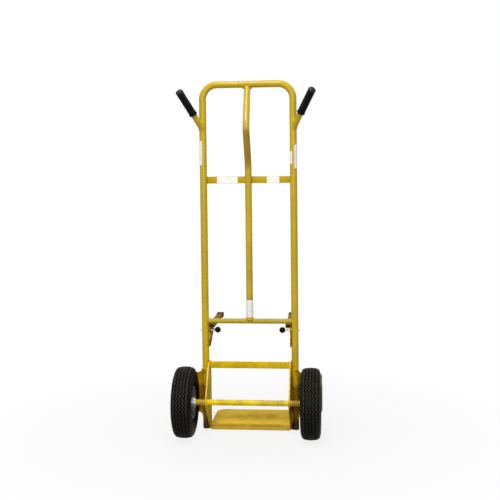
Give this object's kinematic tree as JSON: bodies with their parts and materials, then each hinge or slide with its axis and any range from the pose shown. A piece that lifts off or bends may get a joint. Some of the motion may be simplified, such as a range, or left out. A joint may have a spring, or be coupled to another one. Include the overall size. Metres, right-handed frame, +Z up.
{
  "type": "stacking chair trolley",
  "caption": "Tall two-wheel hand truck of bent yellow tube with pneumatic tyres, a toe plate, grips, a central grab spine and lift forks for moving stacked chairs.",
  "frame": {"origin": "on the floor under the toe plate, midway between the uprights and in the plane of their axes", "axes": "+X to the operator's right, +Y forwards to the load, +Z up"},
  "size_m": [0.542, 0.5079, 1.318],
  "materials": {
    "frame_paint": "yellow powder coat, satin gloss, scuffed at edges and on the toe plate",
    "zinc_steel": "bright zinc plate",
    "rim_paint": "light grey paint on pressed steel",
    "grip_rubber": "matt black rubber",
    "black_plastic": "black push-on plastic cap",
    "black_knob": "glossy black ball knob",
    "tyre_rubber": "dusty black tyre with zigzag tread",
    "tube_rubber": "plain black rubber"
  },
  "bodies": {
    "frame": {"main_frame": "frame_paint", "centre_spine": "frame_paint", "upper_crossbar": "frame_paint", "lower_crossbar": "frame_paint", "brace_bar": "frame_paint", "axle_bracket_left": "frame_paint", "axle_bracket_right": "frame_paint", "axle_sleeve": "frame_paint", "axle": "zinc_steel", "axle_washers": "zinc_steel", "cotter_pins": "zinc_steel", "toe_plate": "frame_paint", "wheel_guard_left": "frame_paint", "wheel_guard_right": "frame_paint", "handle_left": "frame_paint", "handle_right": "frame_paint", "grip_left": "grip_rubber", "grip_right": "grip_rubber", "fork_left": "frame_paint", "fork_right": "frame_paint", "fork_gusset_left": "frame_paint", "fork_gusset_right": "frame_paint", "fork_tip_left": "black_plastic", "fork_tip_right": "black_plastic"},
    "wheel_left": {"tyre_left": "tyre_rubber", "inner_tube_left": "tube_rubber", "rim_outer_left": "rim_paint", "rim_inner_left": "rim_paint", "hub_left": "rim_paint", "bearings_left": "zinc_steel", "rim_bolts_left": "zinc_steel", "rim_nuts_left": "zinc_steel", "valve_left": "tube_rubber"},
    "wheel_right": {"tyre_right": "tyre_rubber", "inner_tube_right": "tube_rubber", "rim_outer_right": "rim_paint", "rim_inner_right": "rim_paint", "hub_right": "rim_paint", "bearings_right": "zinc_steel", "rim_bolts_right": "zinc_steel", "rim_nuts_right": "zinc_steel", "valve_right": "tube_rubber"},
    "lock_pin_left": {"lock_pin_left": "zinc_steel", "lock_knob_left": "black_knob"},
    "lock_pin_right": {"lock_pin_right": "zinc_steel", "lock_knob_right": "black_knob"}
  },
  "joints": [
    {"name": "wheel_left_spin", "type": "hinge", "parent": "frame", "child": "wheel_left", "pos_m": [-0.232, -0.116, 0.13], "axis": [1, 0, 0], "continuous": true},
    {"name": "wheel_right_spin", "type": "hinge", "parent": "frame", "child": "wheel_right", "pos_m": [0.232, -0.116, 0.13], "axis": [1, 0, 0], "continuous": true},
    {"name": "lock_pin_left_pull", "type": "slide", "parent": "frame", "child": "lock_pin_left", "axis": [1, 0, 0], "range_m": [0, 0.034]},
    {"name": "lock_pin_right_pull", "type": "slide", "parent": "frame", "child": "lock_pin_right", "axis": [-1, 0, 0], "range_m": [0, 0.034]}
  ]
}
